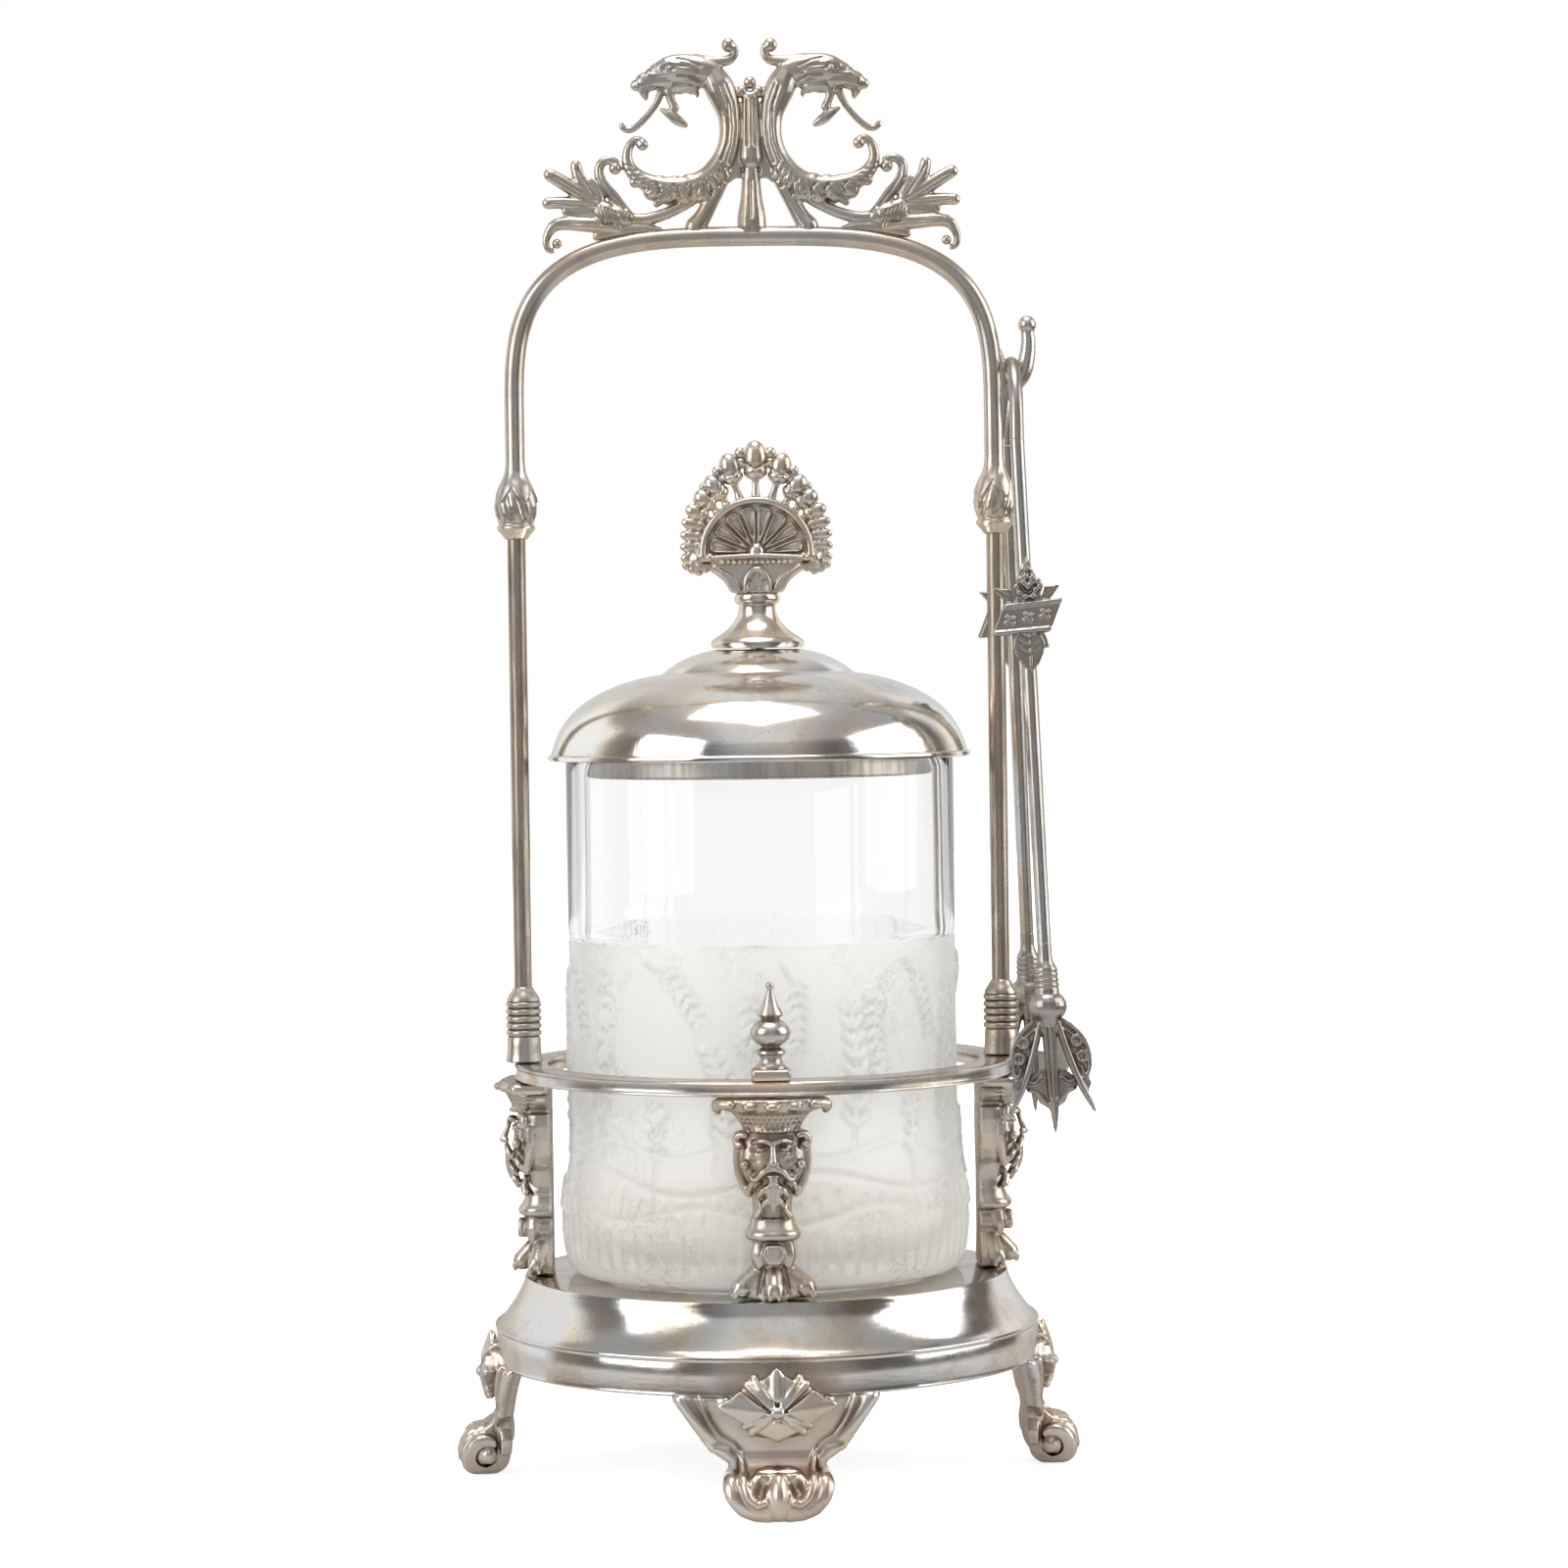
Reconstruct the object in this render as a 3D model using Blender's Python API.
"""Pickle castor: a plated stand on four feet, with figured posts, a gallery ring and a tall
handle, a glass jar under a domed lid, and a pair of tongs that hang on a hook.

Metres, +Z up. The origin is on the floor under the middle of the stand. The front is at -Y,
and the tongs hang at +X."""

import math

import bmesh
import bpy
from mathutils import Matrix, Vector

MM = 0.001

# Clearances
GAP = 0.3 * MM
MERGE_DISTANCE = 0.001 * MM
CUT_OVERRUN = 2.0 * MM
SMOOTH_ANGLE = math.radians(40)

# Base plate, a spun shell that is open underneath
STAND_HEIGHT = 23.2 * MM
BAND_HEIGHT = 7.2 * MM
COVE_HEIGHT = 10.2 * MM
PLATFORM_MARGIN = 6.1 * MM
COVE_REACH = 5.8 * MM
BAND_STEP = 0.4 * MM
BASE_WALL = 1.0 * MM
BASE_SIDES = 28
# Each pair: the share of the way out from platform to cove foot, and of the way down.
COVE_SHARES = ((0.0, 0.06), (0.2, 0.16), (0.38, 0.36), (0.52, 0.56), (0.7, 0.76), (1.0, 0.96))

# Feet
FOOT_HALF_WIDTH = 20.3 * MM
FOOT_THICKNESS = 2.8 * MM
FOOT_PROUD = 0.6 * MM
FOOT_BORDER = 1.6 * MM
FOOT_SUNK = 0.6 * MM
TOE_RADIUS = 5.0 * MM
TOE_SHIFT = 0.6 * MM
TOE_WEAR = 0.45 * MM
# Each row: share of the way up from the toe to the band, share of the half width, and thickness share.
FOOT_SHARES = (
    (1.0, 1.0, 1.6),
    (0.865, 0.86, 1.45),
    (0.635, 0.69, 1.25),
    (0.457, 0.6, 1.1),
    (0.38, 0.5, 1.0),
    (0.29, 0.445, 1.0),
    (0.19, 0.52, 1.0),
    (0.09, 0.53, 1.0),
)
TOE_TURN = math.radians(252)
TOE_STEPS = 7
TOE_END_WIDTH_SHARE = 0.3
TOE_END_RADIUS_SHARE = 0.42
TOE_THINNING_SHARE = 0.3
ROSETTE_HALF_WIDTH = 11.0 * MM
ROSETTE_HALF_HEIGHT = 7.0 * MM
ROSETTE_HEIGHT = 21.6 * MM
ROSETTE_DOME = 3.2 * MM
ROSETTE_BOSS_RADIUS = 1.4 * MM
ROSETTE_ROOT_RADIUS = 3.4 * MM
ROSETTE_ROOT_DROP = 3.6 * MM
ROSETTE_PETALS = 4
ROSETTE_WAIST_SHARE = 0.62
ROSETTE_SHOULDER_SHARE = 0.78
# Each pair: share of the rosette's size, and of its dome.
ROSETTE_LEVEL_SHARES = ((1.0, 0.0), (1.0, 0.4), (0.55, 1.0), (0.12, 0.9))

# Posts between platform and ring
POST_HEIGHT = 39.2 * MM
POST_CLEARANCE = 1.5 * MM
POST_HALF_WIDTH = 11.4 * MM
POST_DEPTH = 10.6 * MM
# Each row: share of the height, of the half width and of the depth.
POST_SHARES = (
    (0.0, 0.56, 0.66),
    (0.05, 0.58, 0.72),
    (0.12, 0.44, 0.64),
    (0.175, 0.3, 0.53),
    (0.222, 0.38, 0.62),
    (0.272, 0.3, 0.51),
    (0.298, 0.46, 0.67),
    (0.365, 0.46, 0.67),
    (0.393, 0.35, 0.52),
    (0.58, 0.4, 0.6),
    (0.7, 0.47, 0.66),
    (0.815, 0.46, 0.66),
    (0.83, 0.54, 0.77),
    (0.91, 0.72, 0.89),
    (0.95, 0.93, 0.98),
    (1.0, 1.0, 1.0),
)
POST_BACK_SHARE = 0.4
POST_ARC_STEPS = 4
MASK_HEIGHT_SHARE = 0.69
MASK_DEPTH_SHARE = 0.58
MASK_HALF_WIDTH = 4.9 * MM
MASK_HALF_HEIGHT = 4.6 * MM
MASK_RELIEF = 2.8 * MM
NOSE_LENGTH = 3.2 * MM
NOSE_RADIUS = 0.8 * MM
BEARD_LENGTH = 6.4 * MM
BEARD_RADIUS = 2.2 * MM
# Each pair: share of the beard's length and of its radius.
BEARD_SHARES = ((0.0, 1.0), (0.5, 0.9), (1.0, 0.25))
CHIN_SHARE = 0.5
SIDE_CURL_RADIUS = 1.9 * MM
EAR_RADIUS = 1.5 * MM
EAR_LENGTH = 4.0 * MM
PAW_TOE_RADIUS = 1.7 * MM
PAW_TOE_LENGTH = 5.4 * MM
PAW_TOE_TURN = math.radians(52)
PAW_DEPTH_SHARE = 0.35
# Each row: share of a toe's length, of its radius upwards, and of its radius in thickness.
PAW_TOE_SHARES = ((0.0, 1.0, 1.0), (0.6, 0.9, 1.0), (1.0, 0.0, 0.8))

# Screws from under the platform into the posts
SCREW_RADIUS = 0.9 * MM
SCREW_SET_OUT = 2.5 * MM
SCREW_DEPTH = 5.0 * MM
SCREW_HEAD_RADIUS = 1.7 * MM
SCREW_HEAD_HEIGHT = 1.4 * MM
SMALL_SIDES = 8

# Gallery ring
RING_CLEARANCE = 2.3 * MM
RING_WIDTH = 6.8 * MM
RING_THICKNESS = 3.0 * MM
RING_EDGE = 0.5 * MM
STUD_RADIUS = 0.8 * MM
STUD_DEPTH = 3.0 * MM

# Spire finials on the ring
PLINTH_HALF = 3.6 * MM
PLINTH_HEIGHT = 2.2 * MM
SPIRE_HEIGHT = 16.8 * MM
SPIRE_RADIUS = 3.9 * MM
SPIRE_SIDES = 10
# Each pair: share of the spire's height and of its radius.
SPIRE_SHARES = (
    (1.0, 0.0), (0.98, 0.2), (0.93, 0.3), (0.84, 0.3), (0.66, 0.64), (0.58, 0.52), (0.52, 0.88),
    (0.44, 1.0), (0.35, 0.86), (0.28, 0.5), (0.24, 0.72), (0.19, 0.72), (0.17, 0.48), (0.0, 0.66),
)

# Handle
HANDLE_SET_OUT = 4.8 * MM
ROD_RADIUS = 1.9 * MM
SOCKET_DEPTH = 4.0 * MM
SOCKET_WALL = 0.45 * MM
FERRULE_HEIGHT = 14.9 * MM
FERRULE_RADIUS = 3.7 * MM
FERRULE_CONE_HEIGHT = 4.4 * MM
FERRULE_SHOULDER_HEIGHT = 2.0 * MM
FERRULE_FOOT_HEIGHT = 2.4 * MM
FERRULE_GROOVE = 0.45 * MM
FERRULE_RIBS = 4
# Shares of the pitch at which a rib's groove is deepest, and at which the next rib starts.
GROOVE_SHARES = (0.3, 0.6)
UPRIGHT_LENGTH = 90.9 * MM
KNOP_LENGTH = 13.5 * MM
KNOP_RADIUS = 4.0 * MM
# Each pair: share of the knop's length and of its radius, from the top down.
KNOP_SHARES = (
    (1.0, 0.66), (0.86, 0.82), (0.66, 1.0), (0.48, 0.98), (0.3, 0.74), (0.2, 0.68), (0.18, 0.9),
    (0.05, 0.92), (0.0, 0.8),
)
ARCH_LEG_LENGTH = 11.0 * MM
ARCH_RISE = 36.2 * MM
ARCH_SQUARENESS_SHARE = 3.3
ARCH_STEPS = 32
TUBE_BEVEL_STEPS = 2
TURNED_SIDES = 10

# Crest on the arch: two beasts' heads on curved necks, with plumes and a middle column
CREST_HALF_WIDTH = 42.0 * MM
CREST_HEIGHT = 40.0 * MM
CREST_LIMB = 2.4 * MM
CREST_FLATNESS_SHARE = 0.8
CREST_SIDES = 6
CREST_STEPS = 1
# Each row: share of the half width, share of the height above the arch, share of the limb size.
NECK_SHARES = (
    (0.2, 0.88, 0.9), (0.12, 0.74, 1.0), (0.1, 0.56, 1.05), (0.13, 0.38, 1.0), (0.22, 0.26, 0.9),
    (0.34, 0.23, 0.85), (0.46, 0.27, 0.75), (0.55, 0.37, 0.55), (0.555, 0.46, 0.4),
)
NECK_BALL_SHARE = (0.535, 0.48, 0.55)
SKULL_SHARES = (
    (0.16, 0.86, 0.7), (0.25, 0.89, 1.05), (0.36, 0.87, 1.2), (0.47, 0.82, 0.85), (0.56, 0.77, 0.5),
)
JAW_SHARES = ((0.3, 0.82, 0.7), (0.37, 0.755, 0.5), (0.42, 0.72, 0.25))
TONGUE_SHARES = (
    (0.36, 0.79, 0.3), (0.43, 0.7, 0.26), (0.52, 0.57, 0.26), (0.59, 0.53, 0.26), (0.625, 0.57, 0.3),
)
GOATEE_SHARES = ((0.36, 0.78, 0.45), (0.385, 0.67, 0.4), (0.32, 0.56, 0.12))
HORN_SHARES = ((0.18, 0.9, 0.4), (0.115, 0.92, 0.32), (0.09, 0.965, 0.3))
HORN_BALL_SHARE = (0.1, 0.97, 0.6)
LEG_SHARES = ((0.06, 0.36, 0.7), (0.13, 0.23, 0.7), (0.24, 0.12, 0.75), (0.33, 0.02, 0.95))
TWIG_SHARES = (
    (0.12, 0.24, 0.5), (0.24, 0.17, 0.5), (0.4, 0.13, 0.55), (0.6, 0.12, 0.75), (0.7, 0.1, 0.95),
)
BAND_SHARES = (
    (0.655, 0.35, 0.4), (0.71, 0.39, 0.35), (0.755, 0.31, 0.4), (0.72, 0.2, 0.55), (0.62, 0.12, 0.6),
)
BAND_BALL_SHARE = (0.655, 0.355, 0.55)
PLUME_SHARES = (
    ((0.68, 0.14, 0.85), (0.78, 0.2, 0.75), (0.87, 0.27, 0.5), (0.97, 0.315, 0.3)),
    ((0.7, 0.16, 0.7), (0.77, 0.27, 0.55), (0.84, 0.37, 0.3)),
    ((0.68, 0.12, 0.8), (0.82, 0.15, 0.55), (0.985, 0.185, 0.3)),
    ((0.7, 0.15, 0.7), (0.81, 0.26, 0.5), (0.9, 0.355, 0.25)),
)
LEAF_SHARES = (
    (0.66, 0.08, 0.9), (0.8, 0.06, 0.8), (0.93, 0.07, 0.5), (0.985, 0.015, 0.4), (0.94, -0.03, 0.4),
)
COLUMN_SHARES = (
    (0.0, 0.77, 0.4), (0.0, 0.7, 0.5), (0.0, 0.55, 0.5), (0.0, 0.4, 0.55), (0.0, 0.36, 0.9),
    (0.0, 0.27, 1.1), (0.0, 0.0, 1.5),
)
TREFOIL_SHARES = ((0.0, 0.775, 0.55), (0.045, 0.72, 0.5), (-0.045, 0.72, 0.5))
BALL_STEPS = 4

# Tong hook on the right upright
HOOK_RISE = 8.2 * MM
HOOK_ARM_RADIUS = 1.65 * MM
HOOK_BALL_RADIUS = 1.8 * MM
HOOK_BALL_RISE = 9.6 * MM
HOOK_PLATE_DROP = 10.8 * MM
HOOK_STEPS = 2
HOOK_ROOT_SHARE = 1.3
HOOK_TIP_SHARE = 0.8
# Each pair: share of the plate's drop, and of the arm's radius.
HOOK_PLATE_SHARES = ((1.0, 0.8), (0.5, 1.0), (0.0, 0.5))

# Glass jar
JAR_RADIUS = 39.3 * MM
JAR_HEIGHT = 105.7 * MM
JAR_WALL = 3.4 * MM
JAR_FLOOR = 5.0 * MM
JAR_BULGE = 2.2 * MM
FROST_LINE_HEIGHT = 67.7 * MM
FROST_STEP = 0.7 * MM
JAR_SIDES = 28
# Each pair: share of the frost line's height and of the bulge at the jar's foot.
JAR_FOOT_SHARES = ((0.4, 0.0), (0.32, 0.35), (0.24, 0.85), (0.16, 1.0), (0.08, 0.7), (0.02, 0.05))

# Lid
LID_OVERHANG = 3.6 * MM
LID_LIP_DROP = 2.0 * MM
LID_WALL = 0.9 * MM
LID_RISE = 20.0 * MM
LID_SIDES = 28
# Each pair: share of the lid's radius and of its rise, from the stem down to the lip.
LID_SHARES = (
    (0.25, 1.0), (0.4, 0.925), (0.475, 0.8), (0.5, 0.77), (0.6, 0.75), (0.72, 0.67), (0.85, 0.52),
    (0.93, 0.36), (0.98, 0.15),
)
LIP_BEAD = 0.5 * MM
COLLAR_CLEARANCE = 0.7 * MM
COLLAR_DROP = 5.6 * MM
COLLAR_WALL = 0.8 * MM
FLANGE_CLEARANCE = 0.9 * MM
STEM_RADIUS = 9.5 * MM
STEM_HEIGHT = 11.0 * MM
# Each pair: share of the stem's height and of its radius, from the top down.
STEM_SHARES = (
    (1.0, 0.42), (0.96, 0.48), (0.82, 0.48), (0.78, 0.39), (0.6, 0.41), (0.42, 0.52), (0.28, 0.72),
    (0.17, 0.95), (0.13, 1.0), (0.0, 1.0),
)
LID_STUD_RADIUS = 1.5 * MM
LID_STUD_LENGTH = 4.6 * MM
NUT_RADIUS = 3.3 * MM
NUT_HEIGHT = 2.2 * MM
NUT_SIDES = 6

# Fan finial on the lid
FAN_RADIUS = 11.2 * MM
FAN_THICKNESS = 2.0 * MM
FAN_RIM = 0.9 * MM
FAN_STEPS = 12
FAN_FLUTES = 9
FAN_BEAD_RADIUS = 1.6 * MM
FLUTE_RELIEF = 0.45 * MM
FLUTE_HALF_WIDTH = 1.1 * MM
FAN_HUB_RADIUS = 2.0 * MM
BRACKET_HEIGHT = 8.0 * MM
BRACKET_FOOT_HALF = 4.2 * MM
BRACKET_TOP_HALF = 9.8 * MM
BRACKET_THICKNESS = 4.4 * MM
# Each pair: share of the bracket's half width at its foot, and of its height.
BRACKET_WAIST_SHARE = (1.15, 0.45)
BUD_REACH = 14.8 * MM
BUD_CENTRE_RISE = 4.2 * MM
BUD_LENGTH = 7.0 * MM
BUD_TOP_RISE = 3.4 * MM
BUD_RADIUS = 1.95 * MM
BUD_ROOT_SHARE = 0.83
BUDS_EACH_SIDE = 7
BUD_SPREAD = math.radians(15.6)
BUD_SHRINK_SHARE = 0.065
BUD_SPAN_SHARE = 0.9
# Each pair: share of the bud's length back from its tip, and of its radius.
BUD_SHARES = ((0.9, 0.45), (0.5, 1.0), (0.0, 0.35))
STALK_SHARE = 0.4

# Tongs
TONG_WIRE_RADIUS = 1.4 * MM
BOW_RADIUS = 12.0 * MM
BOW_DROP = 16.0 * MM
TONG_SPREAD = 20.0 * MM
TONG_LEAN = 4.0 * MM
TONG_LEG_LENGTH = 113.3 * MM
BOW_STEPS = 12
CLAW_BALL_RADIUS = 3.8 * MM
CLAW_NECK_RADIUS = 2.4 * MM
CLAW_NECK_HEIGHT = 9.0 * MM
CLAW_HALF_WIDTH = 8.0 * MM
CLAW_LENGTH = 24.0 * MM
CLAW_THICKNESS = 1.8 * MM
PRONG_RADIUS = 1.1 * MM
# Each pair: share of the claw's length down from the ball, and of the prong's radius.
PRONG_SHARES = ((-0.05, 1.5), (0.5, 1.0), (1.0, 0.25))
CLAW_SOCKET_SHARE = 0.6
CLAW_CONE_SHARE = 0.33
CLAW_BALL_TURNS = tuple(math.radians(turn) for turn in (50, 20, -15, -50))
CLAW_RIBS = 3
RIB_DEPTH = 0.35 * MM
WING_LENGTH_SHARE = 0.86
WEB_THICKNESS_SHARE = 0.8
BLADE_SET_DOWN_SHARE = 0.6
# Outline of a wing: share of the claw's half width out, and of its length down from the ball.
WING_SHARES = (
    (0.12, 0.02), (0.5, 0.0), (0.85, 0.22), (1.0, 0.42), (0.98, 0.62), (0.86, 0.78), (1.0, 1.0),
    (0.78, 0.78), (0.52, 0.45), (0.28, 0.2),
)
WEB_SHARES = (
    (0.0, 0.42), (0.12, 0.5), (0.42, 0.46), (0.6, 0.58), (0.46, 0.66), (0.36, 0.78), (0.0, 0.9),
    (-0.36, 0.78), (-0.46, 0.66), (-0.6, 0.58), (-0.42, 0.46), (-0.12, 0.5),
)
PLAQUE_DROP = 35.3 * MM
PLAQUE_HALF_WIDTH = 6.8 * MM
PLAQUE_HALF_HEIGHT = 12.0 * MM
PLAQUE_THICKNESS = 1.4 * MM
# Outline of a plaque: shares of its half width and half height, from the flower's tip round.
PLAQUE_SHARES = (
    (-0.04, 1.0), (0.2, 0.8), (0.45, 0.5), (0.95, 0.42), (0.62, 0.27), (1.0, 0.22), (0.8, -0.28),
    (0.5, -0.32), (0.45, -0.62), (0.12, -1.0), (-0.2, -0.84), (-0.42, -0.62), (-0.42, -0.32),
    (-1.0, -0.4), (-0.72, 0.12), (-0.4, 0.2), (-0.95, 0.42), (-0.45, 0.46), (-0.28, 0.8),
)
FLOWER_RADIUS = 2.4 * MM
FLOWER_RISE_SHARE = 0.48
FLOWER_DEPTH_SHARE = 0.4

# Heights and radii that the pieces share
BAND_TOP = STAND_HEIGHT + BAND_HEIGHT
PLATFORM_TOP = BAND_TOP + COVE_HEIGHT
POST_BOTTOM = PLATFORM_TOP + GAP
POST_TOP = POST_BOTTOM + POST_HEIGHT
RING_BOTTOM = POST_TOP + GAP
RING_TOP = RING_BOTTOM + RING_THICKNESS
FERRULE_BOTTOM = RING_TOP + GAP
FERRULE_TOP = FERRULE_BOTTOM + FERRULE_HEIGHT
KNOP_BOTTOM = FERRULE_TOP + UPRIGHT_LENGTH
KNOP_TOP = KNOP_BOTTOM + KNOP_LENGTH
ARCH_SPRING = KNOP_TOP + ARCH_LEG_LENGTH
ARCH_CROWN = ARCH_SPRING + ARCH_RISE
JAR_BOTTOM = PLATFORM_TOP + GAP
JAR_TOP = JAR_BOTTOM + JAR_HEIGHT
FROST_LINE = JAR_BOTTOM + FROST_LINE_HEIGHT
COLLAR_BOTTOM = JAR_TOP - COLLAR_DROP
COLLAR_TOP = JAR_TOP + GAP + COLLAR_WALL
LID_BOTTOM = JAR_TOP - LID_LIP_DROP
LID_TOP = JAR_TOP + LID_RISE
STEM_BOTTOM = LID_TOP + GAP
STEM_TOP = STEM_BOTTOM + STEM_HEIGHT
FAN_BOTTOM = STEM_TOP + GAP
FAN_HUB = FAN_BOTTOM + BRACKET_HEIGHT
JAR_BORE_RADIUS = JAR_RADIUS - JAR_WALL
COLLAR_RADIUS = JAR_BORE_RADIUS - COLLAR_CLEARANCE
LID_RADIUS = JAR_RADIUS + LID_OVERHANG
POST_BACK_RADIUS = JAR_RADIUS + JAR_BULGE + POST_CLEARANCE
SCREW_PLACE_RADIUS = POST_BACK_RADIUS + SCREW_SET_OUT
PLATFORM_RADIUS = POST_BACK_RADIUS + PLATFORM_MARGIN
COVE_FOOT_RADIUS = PLATFORM_RADIUS + COVE_REACH
BAND_RADIUS = COVE_FOOT_RADIUS + BAND_STEP
RING_INNER_RADIUS = JAR_RADIUS + JAR_BULGE + RING_CLEARANCE
RING_OUTER_RADIUS = RING_INNER_RADIUS + RING_WIDTH
FINIAL_PLACE_RADIUS = RING_INNER_RADIUS + RING_WIDTH / 2
HANDLE_HALF_WIDTH = RING_INNER_RADIUS + HANDLE_SET_OUT
SOCKET_RADIUS = ROD_RADIUS + GAP
TONG_X = HANDLE_HALF_WIDTH + ROD_RADIUS + GAP + TONG_WIRE_RADIUS
HOOK_THROAT = ARCH_SPRING + HOOK_RISE
BOW_CROWN = HOOK_THROAT + GAP + TONG_WIRE_RADIUS
BOW_CENTRE = BOW_CROWN - BOW_RADIUS
SHOULDER_HEIGHT = BOW_CROWN - BOW_DROP
CLAW_BALL_HEIGHT = SHOULDER_HEIGHT - TONG_LEG_LENGTH
CLAW_RIBS_BOTTOM = CLAW_BALL_HEIGHT + CLAW_BALL_RADIUS
CLAW_TOP = CLAW_RIBS_BOTTOM + CLAW_NECK_HEIGHT
PLAQUE_HEIGHT = SHOULDER_HEIGHT - PLAQUE_DROP

QUARTERS = (("front", 0.0), ("right", math.pi / 2), ("back", math.pi), ("left", -math.pi / 2))

SILVER = (0.64, 0.61, 0.56)
DARK_SILVER = (0.47, 0.44, 0.4)
TONG_METAL = (0.4, 0.4, 0.38)
GLASS = (0.93, 0.93, 0.91)


def clear_scene():
    for obj in list(bpy.data.objects):
        bpy.data.objects.remove(obj, do_unlink=True)


def finish_of(obj, colour, roughness, metallic=1.0):
    """Gives the object a material of its own."""
    material = bpy.data.materials.new(obj.name + " finish")
    material.use_nodes = True
    shader = material.node_tree.nodes["Principled BSDF"]
    shader.inputs["Base Color"].default_value = (*colour, 1.0)
    shader.inputs["Roughness"].default_value = roughness
    shader.inputs["Metallic"].default_value = metallic
    obj.data.materials.clear()
    obj.data.materials.append(material)
    return obj


def add_object(name, mesh):
    obj = bpy.data.objects.new(name, mesh)
    bpy.context.collection.objects.link(obj)
    return obj


def object_from(name, bm):
    """Makes an object of the shapes in bm, with their faces pointing out."""
    bmesh.ops.recalc_face_normals(bm, faces=bm.faces)
    mesh = bpy.data.meshes.new(name)
    bm.to_mesh(mesh)
    bm.free()
    mesh.shade_smooth()
    mesh.set_sharp_from_angle(angle=SMOOTH_ANGLE)
    return add_object(name, mesh)


def as_helper(obj):
    obj.hide_render = True
    obj.display_type = "WIRE"
    return obj


def boolean(obj, other, operation):
    modifier = obj.modifiers.new(operation.title(), "BOOLEAN")
    modifier.operation = operation
    modifier.solver = "EXACT"
    modifier.object = as_helper(other)
    modifier.use_self = operation == "UNION"
    return obj


def fused(name, core, details):
    """One body: the core shape joined with all the detail shapes, which may cross each other."""
    obj = object_from(name, core)
    return boolean(obj, object_from(name + "_details", details), "UNION")


def settled(obj):
    """The object's mesh with its modifiers worked in, so that turned copies can share it."""
    bpy.context.view_layer.update()
    graph = bpy.context.evaluated_depsgraph_get()
    mesh = bpy.data.meshes.new_from_object(obj.evaluated_get(graph))
    mesh.name = obj.name + "_shape"
    return mesh


def turned(name, profile, sides, closed=False):
    """A piece turned about the Z axis from (radius, height) points that run down its outer side."""
    count = len(profile)
    edges = [(i, i + 1) for i in range(count - 1)]
    if closed:
        edges.append((count - 1, 0))
    mesh = bpy.data.meshes.new(name)
    mesh.from_pydata([(radius, 0, height) for radius, height in profile], edges, [])
    obj = add_object(name, mesh)
    screw = obj.modifiers.new("Turn", "SCREW")
    screw.steps = sides
    screw.render_steps = sides
    screw.use_merge_vertices = True
    screw.merge_threshold = MERGE_DISTANCE
    screw.use_smooth_shade = True
    return obj


def smooth(rows, steps):
    """Rows of numbers on a smooth curve through the given rows."""
    found = []
    last = len(rows) - 1
    for i in range(last):
        before = rows[max(i - 1, 0)]
        after = rows[min(i + 2, last)]
        for step in range(steps):
            t = step / steps
            found.append(tuple(
                0.5 * (2 * b + (c - a) * t + (2 * a - 5 * b + 4 * c - d) * t ** 2
                       + (3 * b - a - 3 * c + d) * t ** 3)
                for a, b, c, d in zip(before, rows[i], rows[i + 1], after)
            ))
    return found + [tuple(rows[last])]


def bridge(bm, rings):
    """Skins the rings of points and closes both ends."""
    made = [[bm.verts.new(point) for point in ring] for ring in rings]
    for low, high in zip(made, made[1:]):
        count = len(low)
        for i in range(count):
            j = (i + 1) % count
            bm.faces.new((low[i], low[j], high[j], high[i]))
    bm.faces.new(made[0])
    bm.faces.new(made[-1])


def tube(bm, path, radii, out, sides, flatness=1.0):
    """A tube along the points of a flat path, whose plane has the normal out."""
    rings = []
    for i, (centre, radius) in enumerate(zip(path, radii)):
        along = path[min(i + 1, len(path) - 1)] - path[max(i - 1, 0)]
        across = out.cross(along).normalized()
        rings.append([
            centre + across * radius * math.cos(turn) + out * radius * flatness * math.sin(turn)
            for turn in (math.tau * (k + 0.5) / sides for k in range(sides))
        ])
    bridge(bm, rings)


def ball(bm, centre, radius, sides=6):
    matrix = Matrix.Translation(centre)
    bmesh.ops.create_uvsphere(bm, u_segments=sides, v_segments=BALL_STEPS, radius=radius, matrix=matrix)


def rod(bm, low, high, radius, sides):
    """A straight round bar between two points."""
    span = high - low
    matrix = Matrix.Translation((low + high) / 2) @ span.to_track_quat("Z", "Y").to_matrix().to_4x4()
    bmesh.ops.create_cone(bm, cap_ends=True, segments=sides, radius1=radius, radius2=radius,
                          depth=span.length, matrix=matrix)


def plate(bm, outline, back, thickness):
    """A flat plate in the XZ plane: its outline as (x, z) points, and its rear face at Y = back."""
    front = back - thickness
    bridge(bm, [[Vector((x, y, z)) for x, z in outline] for y in (back, front)])


def out_from_axis(radius, turn, height):
    """A point at a radius from the stand's axis, turned from the front towards the right."""
    return Vector((radius * math.sin(turn), -radius * math.cos(turn), height))


def bent_round(u, radius, height):
    """A point of a foot: u along the base's rim, radius out from the base's axis."""
    return out_from_axis(radius, u / BAND_RADIUS, height)


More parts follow.
